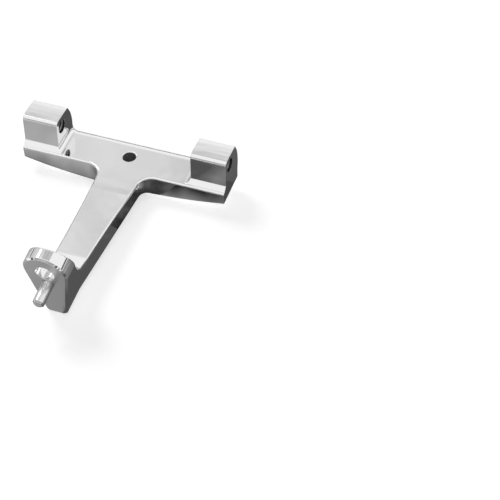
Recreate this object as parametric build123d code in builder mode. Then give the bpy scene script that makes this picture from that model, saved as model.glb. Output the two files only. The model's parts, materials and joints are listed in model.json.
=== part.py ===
from build123d import *
from math import asin, cos, degrees, radians, sin, sqrt, tan
import os

os.makedirs("parts", exist_ok=True)

# Crossbar, centred on the origin, its plate on top at z = 0
crossbar_length = 120.0
crossbar_width = 22.6
crossbar_depth = 15.6        # plate to the lowest point of the belly
belly_radius = 290.0         # the underside is one long arc from end to end
belly_edge_radius = 3.0
outer_lean = 1.2             # the outer wall's lean over the full depth
crown_width = 4.0            # the plate falls away to its outer edge
crown_drop = 1.1

# Lugs that stand on both ends of the crossbar
lug_length = 20.5
lug_height = 18.4
lug_ledge_start = 0.7        # in from the arm side of the crossbar
lug_ledge_width = 3.4
lug_ledge_rise = 3.7
lug_face_lean = 1.6          # the arm-side face leans back over its height
lug_crown = 0.4
lug_brow_width = 1.9         # the steep facet between the top and the outer face
lug_brow_height = 5.0
lug_back_fall = 0.8          # the top falls a little to the facet
lug_bulge = 1.1              # the outer face bellies out past the crossbar
lug_bulge_share = 0.3        # part of that reached at the facet's foot
lug_top_radius = 2.8
lug_brow_radius = 0.6
lug_root_radius = 3.2

# Holes in the crossbar
thread_radius = 4.0          # for 8 mm screws
lug_hole_height = 12.0
centre_hole_radius = 3.7
centre_hole_depth = 11.0
drill_point_angle = 118.0
hole_chamfer = 0.4

# Foot: a round boss above a tapering tongue, square to the bolt
foot_reach = 107.4           # origin to the bolt axis at the mounting face
foot_height = 20.9           # bolt axis above the plate, at the mounting face
foot_tilt = 6.5              # degrees, bolt axis up towards the crossbar
boss_radius = 12.2
boss_wall = 7.4              # thickness at the very top of the boss
boss_lean = 15.7             # degrees between the mounting face and the inner face
tongue_drop = 36.8           # bolt axis to the foot's lower end
tongue_lean = 10.2           # degrees, each side of the tongue
tongue_corner_radius = 2.8
foot_block = 17.0            # length of the foot before it turns into the arm
foot_rim_chamfer = 1.0       # round the mounting face
bolt_radius = 5.0
bolt_clearance = 0.35
head_recess_radius = 10.3
recess_floor = 4.5           # what the bolt's head clamps

# Arm between the foot and the crossbar
arm_climb = 4.2              # degrees
arm_root_half_width = 13.2
arm_root_spread = 0.8        # the sides spread a little downwards
arm_root_depth = 13.5
arm_root_edge_radius = 5.5
arm_corner_radius = 8.0
ramp_angle = 13.0            # degrees
ramp_run = 28.4              # from the foot of the ramp to the bolt axis
ramp_radius = 8.0
ramp_start_radius = 15.0
arm_start_radius = 120.0
rolled_edge_radius = 1.3     # round the whole top side, from lug to lug by way of the boss

# Dowel pin that keeps the foot from turning on its bolt
pin_radius = 3.175
pin_offset = 9.5
pin_length = 13.0            # out of the mounting face
pin_step = 0.2               # the shank in the foot is this much thinner, in radius
pin_tip_chamfer = 0.9
pin_mouth_chamfer = 0.4      # wider than the step, so that the mounting face stays clear

# Cutting profiles run this far past the form, and edges are looked for this near
overrun = 1.0
pick_near = 1.0
pick_upward = 0.3            # height of a unit normal that points upwards
pick_square = 0.02           # its part along the crossbar where a face is square to it

half_length = crossbar_length / 2
half_width = crossbar_width / 2
bolt_hole_radius = bolt_radius + bolt_clearance
pin_shank_radius = pin_radius - pin_step
arm_root_bottom_half = arm_root_half_width + arm_root_spread
ramp_start = foot_reach - ramp_run
# The climb's blend begins just past the corners between arm and crossbar
arm_start = half_width + arm_corner_radius + arm_start_radius * tan(radians(arm_climb / 2))
crown_curve = (crown_width**2 + crown_drop**2) / (2 * crown_drop)
# Turning the gap's outline this far down the crown clears the lugs' bulging faces
gap_turn = degrees(asin((crown_width + lug_bulge + overrun) / crown_curve))

foot_cos = cos(radians(foot_tilt))
foot_sin = sin(radians(foot_tilt))
foot_plane = Plane(
    origin=(0, -foot_reach, foot_height),
    x_dir=(1, 0, 0),
    z_dir=(0, -foot_cos, -foot_sin),
)


def tongue_half(drop):
    """Half width of the foot at a distance below the bolt axis."""
    return boss_radius / cos(radians(tongue_lean)) - drop * tan(radians(tongue_lean))


def tongue(top, bottom):
    """Corners of the tongue's outline between two distances below the bolt axis."""
    return [
        (-tongue_half(top), -top),
        (-tongue_half(bottom), -bottom),
        (tongue_half(bottom), -bottom),
        (tongue_half(top), -top),
    ]


# The underside runs straight from the foot's heel to the arm's root
heel_y = -foot_reach + tongue_drop * foot_sin
heel_z = foot_height - tongue_drop * foot_cos
underside_slope = (-arm_root_depth - heel_z) / -heel_y
back_drop = (
    foot_height - heel_z + foot_block * foot_sin
    - (foot_block * foot_cos - tongue_drop * foot_sin) * underside_slope
) / (foot_cos + foot_sin * underside_slope)


with BuildPart() as bracket:
    # Crossbar: its cross-section run from end to end
    with BuildSketch(Plane.YZ):
        with BuildLine():
            crown = TangentArc(
                (half_width - crown_width, 0),
                (half_width, -crown_drop),
                tangent=(1, 0),
            )
            Polyline(
                crown @ 1,
                (half_width - outer_lean, -crossbar_depth - overrun),
                (-half_width, -crossbar_depth - overrun),
                (-half_width, 0),
                crown @ 0,
            )
        make_face()
    extrude(amount=half_length, both=True)

    # The belly arc, seen from the arm side
    belly_rise = belly_radius - sqrt(belly_radius**2 - half_length**2)
    with BuildSketch(Plane.XZ):
        with BuildLine():
            belly = ThreePointArc(
                (-half_length, belly_rise - crossbar_depth),
                (0, -crossbar_depth),
                (half_length, belly_rise - crossbar_depth),
            )
            Polyline(belly @ 1, (half_length, overrun), (-half_length, overrun), belly @ 0)
        make_face()
    extrude(amount=crossbar_width, both=True, mode=Mode.INTERSECT)
    fillet(bracket.faces().sort_by(Axis.Z)[0].edges(), radius=belly_edge_radius)

    # Arm: from the crossbar's root section to the back of the foot
    with BuildSketch(Plane.XZ) as root_section:
        with BuildLine():
            Polyline(
                (-arm_root_half_width, lug_height),
                (-arm_root_bottom_half, -arm_root_depth),
                (arm_root_bottom_half, -arm_root_depth),
                (arm_root_half_width, lug_height),
                close=True,
            )
        make_face()
        fillet(root_section.vertices().group_by(Axis.Y)[0], radius=arm_root_edge_radius)
    with BuildSketch(foot_plane.offset(-foot_block)) as arm_end:
        Polygon(*tongue(boss_radius, back_drop), align=None)
        fillet(arm_end.vertices().group_by(Axis.Y)[0], radius=tongue_corner_radius)
    loft(ruled=True)

    # Foot: boss and tongue in one outline, a little deeper at the back than at the face
    touch = boss_radius * sin(radians(tongue_lean))
    with BuildSketch(foot_plane) as foot_face:
        Circle(boss_radius)
        Polygon(*tongue(touch, tongue_drop), align=None)
        fillet(foot_face.vertices().group_by(Axis.Y)[0], radius=tongue_corner_radius)
    with BuildSketch(foot_plane.offset(-foot_block)) as foot_back:
        Circle(boss_radius)
        Polygon(*tongue(touch, back_drop), align=None)
        fillet(foot_back.vertices().group_by(Axis.Y)[0], radius=tongue_corner_radius)
    loft(ruled=True)

    # Everything above the plate, the arm's top, the ramp and the foot's inner face goes
    arm_slope = tan(radians(arm_climb))
    ramp_slope = tan(radians(ramp_angle))
    inner_lean = radians(foot_tilt + boss_lean)
    ramp_foot = (-ramp_start, (ramp_start - arm_start) * arm_slope)
    inner_top = (
        -foot_reach + boss_wall * foot_cos - boss_radius * foot_sin,
        foot_height + boss_wall * foot_sin + boss_radius * foot_cos,
    )
    # The ramp's line meets the inner face's line
    fall = (inner_top[1] - ramp_foot[1] - (ramp_foot[0] - inner_top[0]) * ramp_slope) / (
        cos(inner_lean) - sin(inner_lean) * ramp_slope
    )
    inner_foot = (inner_top[0] + fall * sin(inner_lean), inner_top[1] - fall * cos(inner_lean))
    above = foot_height + 2 * boss_radius
    over = (above - inner_top[1]) * tan(inner_lean)
    with BuildSketch(Plane.YZ) as top_relief:
        with BuildLine():
            Polyline(
                (half_width, 0),
                (-arm_start, 0),
                ramp_foot,
                inner_foot,
                (inner_top[0] - over, above),
                (half_width, above),
                close=True,
            )
        make_face()
        for corner, radius in (
            ((-arm_start, 0), arm_start_radius),
            (ramp_foot, ramp_start_radius),
            (inner_foot, ramp_radius),
        ):
            fillet(top_relief.vertices().sort_by_distance(corner)[0], radius=radius)
    extrude(amount=half_length, both=True, mode=Mode.SUBTRACT)

    # The arm's sides sweep into the crossbar
    fillet(
        bracket.edges().filter_by(
            lambda edge: abs(edge.center().Y + half_width) < pick_near
            and abs(abs(edge.center().X) - arm_root_half_width) < pick_near
            and edge.center().Z > -crossbar_depth / 2
        ),
        radius=arm_corner_radius,
    )

    # One rolled edge follows the plate, the corners, the arm, the ramp and the boss
    top = bracket.faces().filter_by(
        lambda face: abs(face.normal_at().X) < pick_square
        and face.normal_at().Z > pick_upward
        and face.center().Y < half_width / 2 - crown_width
        and face.center().Z < foot_height + boss_radius / 2
    )
    fillet(
        top.edges().filter_by(
            lambda edge: edge.center().Y < -half_width / 2
            and (abs(edge.center().X) > pick_near or edge.center().Z > foot_height)
        ),
        radius=rolled_edge_radius,
    )

    # The mounting face's rim is broken all round
    chamfer(bracket.faces().sort_by(Axis.Y)[0].outer_wire().edges(), length=foot_rim_chamfer)

    # Lugs at both ends, each run inwards past its end by its root's radius
    ledge = (-half_width + lug_ledge_start, -crown_drop)
    face_foot = (ledge[0] + lug_ledge_width, ledge[1] + lug_ledge_rise)
    face_top = (face_foot[0] + lug_face_lean, lug_height)
    brow = (half_width - lug_brow_width, lug_height - lug_back_fall)
    brow_foot = (half_width + lug_bulge_share * lug_bulge, brow[1] - lug_brow_height)
    base = (half_width, -crown_drop)
    lug_end = half_length - lug_length
    cove_end = lug_end - lug_root_radius
    for side in (-1, 1):
        with BuildSketch(Plane.YZ.offset(side * half_length)) as lug_section:
            with BuildLine():
                Polyline(base, ledge, face_foot, face_top)
                ThreePointArc(
                    face_top,
                    ((face_top[0] + brow[0]) / 2, (face_top[1] + brow[1]) / 2 + lug_crown),
                    brow,
                )
                Line(brow, brow_foot)
                ThreePointArc(
                    brow_foot,
                    (half_width + lug_bulge, (brow_foot[1] + base[1]) / 2),
                    base,
                )
            make_face()
            for corner, radius in (
                (face_top, lug_top_radius),
                (brow, lug_brow_radius),
                (brow_foot, lug_brow_radius),
            ):
                fillet(lug_section.vertices().sort_by_distance(corner)[0], radius=radius)
        extrude(amount=-side * (lug_length + lug_root_radius))

    # The gap between them ends in coves, and follows the plate and then the crown
    crown_line = half_width - crown_width
    with BuildSketch(Plane.XZ.offset(-crown_line)) as lug_gap:
        with BuildLine():
            Line((-cove_end, 0), (cove_end, 0))
            RadiusArc((cove_end, 0), (lug_end, lug_root_radius), -lug_root_radius)
            Polyline(
                (lug_end, lug_root_radius),
                (lug_end, lug_height + lug_root_radius),
                (-lug_end, lug_height + lug_root_radius),
                (-lug_end, lug_root_radius),
            )
            RadiusArc((-lug_end, lug_root_radius), (-cove_end, 0), -lug_root_radius)
        make_face()
    extrude(amount=half_width + crown_line, mode=Mode.SUBTRACT)
    revolve(
        lug_gap.sketch,
        axis=Axis((0, crown_line, -crown_curve), (-1, 0, 0)),
        revolution_arc=gap_turn,
        mode=Mode.SUBTRACT,
    )

    # Tapped holes through both lugs, and a plain blind one down from the plate
    with BuildSketch(Plane.YZ):
        with Locations((0, lug_hole_height)):
            Circle(thread_radius)
    extrude(amount=half_length, both=True, mode=Mode.SUBTRACT)
    drill_point = centre_hole_radius / tan(radians(drill_point_angle / 2))
    with BuildSketch(Plane.XZ):
        with BuildLine():
            Polyline(
                (0, hole_chamfer),
                (centre_hole_radius + 2 * hole_chamfer, hole_chamfer),
                (centre_hole_radius, -hole_chamfer),
                (centre_hole_radius, -centre_hole_depth),
                (0, -centre_hole_depth - drill_point),
                close=True,
            )
        make_face()
    revolve(axis=Axis.Z, mode=Mode.SUBTRACT)

    # Bolt hole, the recess for the bolt's head, and the dowel's hole below it
    with BuildSketch(foot_plane):
        Circle(bolt_hole_radius)
        with Locations((0, -pin_offset)):
            Circle(pin_shank_radius)
    extrude(amount=-recess_floor, mode=Mode.SUBTRACT)
    with BuildSketch(foot_plane.offset(-recess_floor)):
        Circle(head_recess_radius)
    extrude(amount=-foot_block, mode=Mode.SUBTRACT)
    pin_mouth = foot_plane.from_local_coords(Vector(pin_shank_radius, -pin_offset, 0))
    chamfer(
        bracket.edges().filter_by(GeomType.CIRCLE).sort_by_distance(pin_mouth)[0],
        length=pin_mouth_chamfer,
    )

bracket.part.label = "bracket"
export_step(bracket.part, "parts/bracket.step")

with BuildPart() as dowel_pin:
    with BuildSketch(foot_plane):
        with Locations((0, -pin_offset)):
            Circle(pin_radius)
    extrude(amount=pin_length)
    chamfer(
        dowel_pin.edges().filter_by(GeomType.CIRCLE).sort_by(Axis.Y)[0],
        length=pin_tip_chamfer,
    )
    with BuildSketch(foot_plane):
        with Locations((0, -pin_offset)):
            Circle(pin_shank_radius)
    extrude(amount=-recess_floor)

dowel_pin.part.label = "dowel_pin"
export_step(dowel_pin.part, "parts/dowel_pin.step")
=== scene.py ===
"""Studio picture of a chromed passenger peg mount lying on a pale floor."""
import json
import math

import bmesh
import bpy
from mathutils import Matrix, Vector


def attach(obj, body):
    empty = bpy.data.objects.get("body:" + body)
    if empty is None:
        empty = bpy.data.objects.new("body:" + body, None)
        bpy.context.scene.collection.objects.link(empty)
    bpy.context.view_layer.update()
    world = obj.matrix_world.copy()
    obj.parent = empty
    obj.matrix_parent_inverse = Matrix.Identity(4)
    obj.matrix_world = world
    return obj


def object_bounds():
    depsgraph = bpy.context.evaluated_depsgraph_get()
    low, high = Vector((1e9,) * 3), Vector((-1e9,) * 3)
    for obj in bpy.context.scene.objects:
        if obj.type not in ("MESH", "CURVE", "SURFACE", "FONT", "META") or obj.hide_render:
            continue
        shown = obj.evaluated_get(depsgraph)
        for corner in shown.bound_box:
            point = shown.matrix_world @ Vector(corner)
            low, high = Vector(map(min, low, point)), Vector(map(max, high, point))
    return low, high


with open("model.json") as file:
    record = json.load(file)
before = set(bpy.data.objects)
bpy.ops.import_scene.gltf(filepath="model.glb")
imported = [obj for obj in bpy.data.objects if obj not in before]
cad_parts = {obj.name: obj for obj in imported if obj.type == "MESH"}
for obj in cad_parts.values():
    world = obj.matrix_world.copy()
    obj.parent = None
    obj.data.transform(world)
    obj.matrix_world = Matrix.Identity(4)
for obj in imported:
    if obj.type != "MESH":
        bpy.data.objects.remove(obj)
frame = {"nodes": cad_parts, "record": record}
cad_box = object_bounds()
MM = 0.001
FLOOR_HEIGHT = cad_box[0].z
CROSSBAR_END = cad_box[1].x

# Camera: where the photographer stood, in the part's own frame, turned in degrees
CAMERA_AZIMUTH = 21.03
CAMERA_ELEVATION = 49.33
CAMERA_ROLL = -2.42
CAMERA_PLACE = (266.3 * MM, -511.4 * MM, 582.6 * MM)
LENS = 105.286
SENSOR = 36.0
CLIP_RANGE = (0.05, 20.0)

# The holes and the foot's mounting face, as the frame's record states them
mounts = {mount["name"]: mount for mount in frame["record"]["mounts"]}
FOOT_NORMAL = Vector(mounts["foot_face"]["axis"])
FOOT_POINT = Vector(mounts["foot_face"]["pos_m"])
LUG_HOLES = [mounts["lug_hole_left"], mounts["lug_hole_right"]]
CENTRE_HOLE = mounts["centre_hole"]

# Thread of an 8 mm screw in each lug hole
THREAD_PITCH = 1.25 * MM
THREAD_DEPTH = 0.62 * MM
THREAD_STEPS = 48            # round one turn
THREAD_INSET = 0.6 * MM      # from a mouth of the hole to the nearest turn
THREAD_SEAT = 0.05 * MM      # how deep its root lies in the wall
THREAD_RUNOUT = 0.5          # turns over which it fades at each end
THREAD_LEAST = 0.04          # share of its height left at the very end
THREAD_CREASE = 30.0         # degrees between faces from which an edge is sharp
# Corners of its section: shares of the pitch along the hole, shares of the height
THREAD_PROFILE = ((-0.49, 0.0), (-0.09, 1.0), (0.09, 1.0), (0.49, 0.0))

# Greys of the metals; those of the holes and threads are darkened in part with painted shade
CHROME_GREY = 0.86
SATIN_GREY = 0.68
# the holes' greys are bare drilled metal darkened with painted shade; the lug holes' grey is
# nearly all painted shade
CENTRE_HOLE_METAL_AND_SHADE_GREY = 0.42
LUG_HOLE_SHADE_GREY = 0.07
PIN_GREY = 0.80
# partly the cut steel's own grey, partly painted shade of the lug hole
THREAD_STEEL_AND_SHADE_GREY = 0.40

# Roughness, from the smoothest to the roughest spot
POLISHED = (0.055, 0.105)
MILLED = (0.33, 0.42)
DRILLED = (0.45, 0.65)
GROUND = (0.14, 0.26)
TAPPED = (0.28, 0.46)

# Noise patterns: spots to the metre, and detail
HAZE = (140.0, 4.0)
MILLING = (900.0, 3.0)
DRILLING = (1500.0, 2.0)
WAVES = (38.0, 2.0)
GRAIN = (1100.0, 3.0)
GRINDING = (500.0, 3.0)
CHATTER = (1400.0, 3.0)
FLOOR_MOTTLE = (30.0, 3.0)
NOISE_RANGE = (0.3, 0.7)     # nearly all of a pattern's values lie in it

# Bumps: strength, and depth
WAVE_BUMP = (0.30, 0.6 * MM)
GRAIN_BUMP = (0.05, 0.05 * MM)
RING_BUMP = (0.10, 0.02 * MM)
CHATTER_BUMP = (0.2, 0.05 * MM)
RING_PITCH = 0.35 * MM       # of the grinding marks round the pin
EDGE_RADIUS = 0.45 * MM      # sharp edges catch light as if rounded by this much
EDGE_SAMPLES = 6

# Where one finish of the casting ends and the next begins
FACE_MARGIN = 0.05 * MM      # the satin face is looked for this far behind its plane
WALL_MARGIN = 0.02 * MM      # and a hole's wall this far outside its radius
MOUTH_DEPTH = 0.42 * MM      # the centre hole's chamfered mouth stays plated

# Floor, backdrop and lamp
FLOOR_SIZE = 8.0
FLOOR_GREYS = (0.90, 0.92)
FLOOR_ROUGHNESS = 0.9
FLOOR_GLOW = (0.0, 0.62)     # as a light, and where the background has to be white
WORLD_GLOW = (0.26, 1.0)
LAMP_STRENGTH = 0.75
LAMP_WIDTH = 24.0            # degrees
LAMP_DIRECTION = (0.62, -0.38, -0.95)

# Painted reflections: glowing cards that only the metal's reflections see, with clouds of these
# sizes
FLOOR_CLOUDS = 28 * MM
CORNER_CLOUDS = 7 * MM
CEILING_CLOUDS = 95 * MM
BAND_CLOUDS = 240 * MM
CLOUD_DETAIL = 2.0
CLOUD_SHARE = 0.38           # of a card's range of brightness, up or down
CARD_LIFT = 0.1 * MM         # from the floor to the first layer, and between layers
BAND_RADIUS = 2.5
BAND_STEPS = 48

# Places of A, B and Result on a Mix node
MIX_SOCKETS = {"FLOAT": (2, 3, 0), "RGBA": (6, 7, 2)}


def node(tree, kind, **settings):
    """A new shader node with its properties and unlinked inputs set."""
    made = tree.nodes.new(kind)
    for name, value in settings.items():
        if name in made.bl_rna.properties:
            setattr(made, name, value)
        else:
            made.inputs[name.replace("_", " ")].default_value = value
    return made


def feed(tree, value, socket):
    """Links a value into an input if it is a socket, and else sets it there."""
    if isinstance(value, bpy.types.NodeSocket):
        tree.links.new(value, socket)
    else:
        socket.default_value = value


def maths(tree, operation, *values):
    """A Math node on sockets or numbers; returns its output."""
    made = node(tree, "ShaderNodeMath", operation=operation)
    for value, socket in zip(values, made.inputs):
        feed(tree, value, socket)
    return made.outputs[0]


def past_point(tree, place, origin, direction):
    """How far a position lies past a point, along a direction, in metres."""
    shifted = node(tree, "ShaderNodeVectorMath", operation="SUBTRACT")
    feed(tree, place, shifted.inputs[0])
    feed(tree, origin, shifted.inputs[1])
    made = node(tree, "ShaderNodeVectorMath", operation="DOT_PRODUCT")
    feed(tree, shifted.outputs[0], made.inputs[0])
    feed(tree, direction, made.inputs[1])
    return made.outputs["Value"]


def off_axis(tree, first, second):
    """Distance from an axis, from the two coordinates across it."""
    squares = [maths(tree, "POWER", value, 2) for value in (first, second)]
    return maths(tree, "SQRT", maths(tree, "ADD", *squares))


def spread(tree, socket, span, onto=(0.0, 1.0)):
    """Maps a socket's range of values onto another."""
    made = node(
        tree,
        "ShaderNodeMapRange",
        From_Min=span[0],
        From_Max=span[1],
        To_Min=onto[0],
        To_Max=onto[1],
    )
    feed(tree, socket, made.inputs["Value"])
    return made.outputs["Result"]


def mixed(tree, share, first, second, kind="FLOAT"):
    """Mixes two values, each a socket or fixed, by a share."""
    made = node(tree, "ShaderNodeMix", data_type=kind)
    place_a, place_b, place_result = MIX_SOCKETS[kind]
    feed(tree, share, made.inputs["Factor"])
    feed(tree, first, made.inputs[place_a])
    feed(tree, second, made.inputs[place_b])
    return made.outputs[place_result]


def grey(value):
    """A grey as a colour."""
    return (value, value, value, 1.0)


def grey_ramp(tree, share, first, second):
    """A colour that runs from one grey to another by a share."""
    return mixed(tree, share, grey(first), grey(second), kind="RGBA")


def noise(tree, place, pattern):
    """A noise pattern's value at a position."""
    scale, detail = pattern
    made = node(tree, "ShaderNodeTexNoise", Scale=scale, Detail=detail)
    feed(tree, place, made.inputs["Vector"])
    return made.outputs["Fac"]


def clouded(tree, place, pattern, onto=(0.0, 1.0)):
    """A noise pattern spread over a range of values."""
    return spread(tree, noise(tree, place, pattern), NOISE_RANGE, onto)


def position(tree):
    """Where a point of the surface lies."""
    return node(tree, "ShaderNodeNewGeometry").outputs["Position"]


def new_material(name):
    """A new material: (material, tree, the inputs of its Principled shader)."""
    material = bpy.data.materials.new(name)
    material.use_nodes = True
    tree = material.node_tree
    return material, tree, tree.nodes["Principled BSDF"].inputs


def new_metal(name):
    """A new material that is bare metal; returns what new_material does."""
    material, tree, inputs = new_material(name)
    inputs["Metallic"].default_value = 1.0
    return material, tree, inputs


def bumped(tree, *layers):
    """A normal from heights, each with the strength and depth of its bumps."""
    edges = node(tree, "ShaderNodeBevel", samples=EDGE_SAMPLES, Radius=EDGE_RADIUS)
    below = edges.outputs["Normal"]
    for height, (strength, depth) in layers:
        made = node(tree, "ShaderNodeBump", Strength=strength, Distance=depth)
        feed(tree, height, made.inputs["Height"])
        feed(tree, below, made.inputs["Normal"])
        below = made.outputs["Normal"]
    return below


def in_lug_hole(tree, y, z):
    """1 on the walls of the lug holes, which share an axis along x, else 0."""
    hole = LUG_HOLES[0]
    height = maths(tree, "SUBTRACT", z, Vector(hole["pos_m"]).z)
    reach = hole["dims"]["r_mm"] * MM + WALL_MARGIN
    return maths(tree, "LESS_THAN", off_axis(tree, y, height), reach)


def in_centre_hole(tree, x, y, z):
    """1 in the centre hole below its mouth, else 0."""
    reach = CENTRE_HOLE["dims"]["r_mm"] * MM + WALL_MARGIN
    beside = maths(tree, "LESS_THAN", off_axis(tree, x, y), reach)
    return maths(tree, "MULTIPLY", beside, maths(tree, "LESS_THAN", z, -MOUTH_DEPTH))


def chrome():
    """Plating: soft waves and a faint haze, satin on the machined face, and rougher bare metal in
    the holes, its grey darkened with painted shade.
    """
    material, tree, inputs = new_metal("polished_chrome")
    place = position(tree)
    out_of_face = past_point(tree, place, FOOT_POINT, FOOT_NORMAL)
    satin = maths(tree, "GREATER_THAN", out_of_face, -FACE_MARGIN)
    axes = node(tree, "ShaderNodeSeparateXYZ")
    feed(tree, place, axes.inputs[0])
    x, y, z = axes.outputs
    in_lug = in_lug_hole(tree, y, z)
    in_hole = maths(tree, "MAXIMUM", in_lug, in_centre_hole(tree, x, y, z))

    haze = clouded(tree, place, HAZE, POLISHED)
    milled = clouded(tree, place, MILLING, MILLED)
    drilled = clouded(tree, place, DRILLING, DRILLED)
    outside = mixed(tree, satin, haze, milled)
    feed(tree, mixed(tree, in_hole, outside, drilled), inputs["Roughness"])

    plating = grey_ramp(tree, satin, CHROME_GREY, SATIN_GREY)
    # painted shade: the holes' walls get a darker grey for the shade inside them, over their bare
    # metal
    walls = grey_ramp(tree, in_lug, CENTRE_HOLE_METAL_AND_SHADE_GREY, LUG_HOLE_SHADE_GREY)
    feed(tree, mixed(tree, in_hole, plating, walls, kind="RGBA"), inputs["Base Color"])

    waves = (noise(tree, place, WAVES), WAVE_BUMP)
    grain = (noise(tree, place, GRAIN), GRAIN_BUMP)
    feed(tree, bumped(tree, waves, grain), inputs["Normal"])
    return material


def ground_steel():
    """Ground pin: fine rings round its axis and a soft shine."""
    material, tree, inputs = new_metal("ground_steel")
    inputs["Base Color"].default_value = grey(PIN_GREY)
    place = position(tree)
    feed(tree, clouded(tree, place, GRINDING, GROUND), inputs["Roughness"])
    along = past_point(tree, place, FOOT_POINT, FOOT_NORMAL)
    rings = maths(tree, "SINE", maths(tree, "MULTIPLY", along, 2 * math.pi / RING_PITCH))
    feed(tree, bumped(tree, (rings, RING_BUMP)), inputs["Normal"])
    return material


def cut_steel():
    """Cut threads: dull, with tool chatter, their grey darkened in part as painted shade of the
    hole.
    """
    material, tree, inputs = new_metal("cut_thread")
    inputs["Base Color"].default_value = grey(THREAD_STEEL_AND_SHADE_GREY)
    chatter = noise(tree, position(tree), CHATTER)
    feed(tree, spread(tree, chatter, NOISE_RANGE, TAPPED), inputs["Roughness"])
    feed(tree, bumped(tree, (chatter, CHATTER_BUMP)), inputs["Normal"])
    return material


def dress(name, material):
    """Gives a CAD node its material."""
    mesh = frame["nodes"][name].data
    mesh.materials.clear()
    mesh.materials.append(material)


def new_object(name, data):
    """An object in the scene that shows a mesh, a light or a camera."""
    made = bpy.data.objects.new(name, data)
    bpy.context.collection.objects.link(made)
    return made


def thread(mount, material):
    """One internal thread: a closed helical ridge, seated in a lug hole's wall."""
    root = mount["dims"]["r_mm"] * MM + THREAD_SEAT
    hole_length = mount["dims"]["length_mm"] * MM
    length = hole_length - 2 * THREAD_INSET - THREAD_PITCH
    centre = Vector(mount["pos_m"])
    lug_middle = math.copysign(CROSSBAR_END - hole_length / 2, centre.x)
    turns = length / THREAD_PITCH
    builder = bmesh.new()
    rings = []
    for step in range(int(turns * THREAD_STEPS) + 1):
        turn = step / THREAD_STEPS
        angle = 2 * math.pi * turn
        from_end = min(turn, turns - turn)
        fade = max(THREAD_LEAST, min(1.0, from_end / THREAD_RUNOUT))
        along = lug_middle - length / 2 + turn * THREAD_PITCH
        ring = []
        for shift, rise in THREAD_PROFILE:
            reach = root - fade * rise * (THREAD_DEPTH + THREAD_SEAT)
            place = (
                along + shift * THREAD_PITCH,
                reach * math.cos(angle),
                centre.z + reach * math.sin(angle),
            )
            ring.append(builder.verts.new(place))
        rings.append(ring)
    corners = len(THREAD_PROFILE)
    for near, far in zip(rings, rings[1:]):
        for lane in range(corners):
            following = (lane + 1) % corners
            builder.faces.new((near[lane], near[following], far[following], far[lane]))
    for end in (rings[0], rings[-1]):
        builder.faces.new(end)
    bmesh.ops.recalc_face_normals(builder, faces=builder.faces)
    mesh = bpy.data.meshes.new("thread_" + mount["name"])
    builder.to_mesh(mesh)
    builder.free()
    mesh.shade_smooth()
    mesh.set_sharp_from_angle(angle=math.radians(THREAD_CREASE))
    mesh.materials.append(material)
    made = new_object("thread_" + mount["name"], mesh)
    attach(made, "root")


def painted_reflection(name, points, faces, start, end, tones, clouds):
    """A painted reflection: a glowing card that only reflections see; its brightness runs from one
    place to another, clouded.
    """
    mesh = bpy.data.meshes.new(name)
    mesh.from_pydata(points, [], faces)
    made = new_object(name, mesh)
    run = Vector(end) - Vector(start)
    material, tree, inputs = new_material(name)
    place = position(tree)
    along = past_point(tree, place, start, run.normalized())
    share = spread(tree, along, (0.0, run.length))
    cloud = clouded(tree, place, (1 / clouds, CLOUD_DETAIL), (-CLOUD_SHARE, CLOUD_SHARE))
    share = maths(tree, "ADD", share, cloud)
    inputs["Base Color"].default_value = grey(0.0)
    inputs["Specular IOR Level"].default_value = 0.0
    # painted reflection: the card glows but hides from the camera, from diffuse light and from
    # shadows
    inputs["Emission Strength"].default_value = 1.0
    feed(tree, grey_ramp(tree, share, *tones), inputs["Emission Color"])
    mesh.materials.append(material)
    made.visible_camera = False
    made.visible_diffuse = False
    made.visible_shadow = False
    made.visible_transmission = False


def card(name, corners, tones, clouds):
    """A flat painted-reflection card whose brightness runs from its first and last corner to the
    other two.
    """
    start = (Vector(corners[0]) + Vector(corners[3])) / 2
    end = (Vector(corners[1]) + Vector(corners[2])) / 2
    painted_reflection(name, corners, [(0, 1, 2, 3)], start, end, tones, clouds)


def ground_card(name, across, along, tones, deep=False, slant=0, layer=1, clouds=FLOOR_CLOUDS):
    """A card on the floor between two x and two y, in millimetres.

    Its brightness runs from left to right, or from front to back if it is deep. A slant
    moves its right corner at the back inwards, and a higher layer hides a lower one.
    """
    left, right = across
    front, back = along
    height = FLOOR_HEIGHT + layer * CARD_LIFT
    corners = [
        (left * MM, front * MM, height),
        (right * MM, front * MM, height),
        ((right - slant) * MM, back * MM, height),
        (left * MM, back * MM, height),
    ]
    if deep:
        corners = [corners[1], corners[2], corners[3], corners[0]]
    card(name, corners, tones, clouds)


def band(name, heights, angles, tones):
    """A painted reflection: an upright band round the object, between two heights and two angles
    from the x axis.

    Its brightness runs upwards.
    """
    low, high = heights
    first, last = angles
    points = []
    for step in range(BAND_STEPS + 1):
        angle = math.radians(first + (last - first) * step / BAND_STEPS)
        for height in heights:
            points.append((BAND_RADIUS * math.cos(angle), BAND_RADIUS * math.sin(angle), height))
    faces = []
    for corner in range(0, 2 * BAND_STEPS, 2):
        faces.append((corner, corner + 2, corner + 3, corner + 1))
    painted_reflection(name, points, faces, (0, 0, low), (0, 0, high), tones, BAND_CLOUDS)


def painted_ceiling_reflection():
    """A painted reflection of a grey ceiling behind the object, for the plate and the arm's top.
    """
    left, right = -1.00, 0.35
    front, front_height = 0.30, 1.30
    back, back_height = 1.65, 1.15
    corners = [
        (left, front, front_height),
        (left, back, back_height),
        (right, back, back_height),
        (right, front, front_height),
    ]
    card("painted_ceiling_reflection", corners, (0.50, 0.92), CEILING_CLOUDS)


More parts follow.
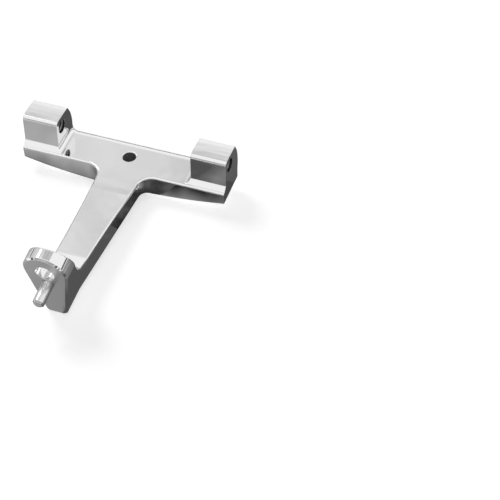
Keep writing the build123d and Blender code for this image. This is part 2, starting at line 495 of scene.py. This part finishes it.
def cards():
    """Painted reflections: grey floor on the left, darker on the right as painted shadow of the
    object, and a dark horizon.
    """
    painted_ceiling_reflection()
    # painted shadow: the floor cards darken towards the object and to its right, where its shadow
    # falls, seen only in reflections
    ground_card("left_front_card", (-150, 3), (-230, -28), (0.52, 0.36))
    ground_card("left_near_card", (-150, 3), (-28, -8), (0.50, 0.10), deep=True)
    ground_card("left_end_card", (-300, -60), (-8, 120), (0.34, 0.14), layer=2)
    ground_card("right_front_card", (3, 160), (-230, -26), (0.09, 0.42))
    ground_card("right_near_card", (3, 160), (-26, -10), (0.015, 0.30), deep=True)
    ground_card(
        "right_corner_card",
        (3, 34),
        (-40, -10),
        (0.008, 0.10),
        slant=14,
        layer=2,
        clouds=CORNER_CLOUDS,
    )
    ground_card("right_far_card", (160, 900), (-600, 400), (0.30, 0.45))
    ground_card("right_end_card", (60, 160), (-10, 13), (0.07, 0.16))
    ground_card("back_floor_card", (-70, 160), (13, 90), (0.08, 0.12))
    # painted reflection: a dark horizon, which draws dark lines along rounded edges
    band("horizon_band", (0.02, 0.34), (0, 360), (0.03, 0.16))
    band("front_band", (0.45, 1.40), (190, 350), (0.34, 0.60))
    band("left_band", (0.45, 2.00), (130, 178), (0.60, 0.80))


def shown(tree):
    """1 for rays whose background has to be white, else 0."""
    path = node(tree, "ShaderNodeLightPath")
    seen = maths(tree, "ADD", path.outputs["Is Camera Ray"], path.outputs["Is Glossy Ray"])
    seen = maths(tree, "ADD", seen, path.outputs["Is Transmission Ray"])
    return maths(tree, "MINIMUM", seen, 1.0)


def glow(tree, strengths):
    """A strength for rays that only light, and another for rays that show the background."""
    return spread(tree, shown(tree), (0.0, 1.0), strengths)


def floor():
    """White floor that keeps the object's shadow."""
    bpy.ops.mesh.primitive_plane_add(size=FLOOR_SIZE, location=(0, 0, FLOOR_HEIGHT))
    made = bpy.context.object
    made.name = "floor"
    material, tree, inputs = new_material("pale_floor")
    mottle = clouded(tree, position(tree), FLOOR_MOTTLE)
    feed(tree, grey_ramp(tree, mottle, *FLOOR_GREYS), inputs["Base Color"])
    inputs["Roughness"].default_value = FLOOR_ROUGHNESS
    inputs["Specular IOR Level"].default_value = 0.0
    inputs["Emission Color"].default_value = grey(1.0)
    feed(tree, glow(tree, FLOOR_GLOW), inputs["Emission Strength"])
    made.data.materials.append(material)


def surroundings():
    """White backdrop all round, much weaker as a light than it looks."""
    world = bpy.data.worlds.new("surroundings")
    bpy.context.scene.world = world
    world.use_nodes = True
    tree = world.node_tree
    inputs = tree.nodes["Background"].inputs
    inputs["Color"].default_value = grey(1.0)
    feed(tree, glow(tree, WORLD_GLOW), inputs["Strength"])


def lamp():
    """One broad soft lamp, high on the left and behind."""
    light = bpy.data.lights.new("key", "SUN")
    light.energy = LAMP_STRENGTH
    light.angle = math.radians(LAMP_WIDTH)
    made = new_object("key", light)
    made.rotation_euler = Vector(LAMP_DIRECTION).to_track_quat("-Z", "Y").to_euler()


def camera():
    """The camera, turned by azimuth, elevation and roll."""
    lens = bpy.data.cameras.new("camera")
    lens.lens = LENS
    lens.sensor_width = SENSOR
    lens.clip_start, lens.clip_end = CLIP_RANGE
    made = new_object("camera", lens)
    turn = (
        Matrix.Rotation(math.radians(CAMERA_AZIMUTH), 4, "Z")
        @ Matrix.Rotation(math.radians(90 - CAMERA_ELEVATION), 4, "X")
        @ Matrix.Rotation(math.radians(CAMERA_ROLL), 4, "Z")
    )
    made.matrix_world = Matrix.Translation(CAMERA_PLACE) @ turn
    bpy.context.scene.camera = made


dress("bracket", chrome())
dress("dowel_pin", ground_steel())
thread_steel = cut_steel()
for hole in LUG_HOLES:
    thread(hole, thread_steel)
floor()
surroundings()
lamp()
cards()
camera()
bpy.context.scene.view_settings.view_transform = "Standard"
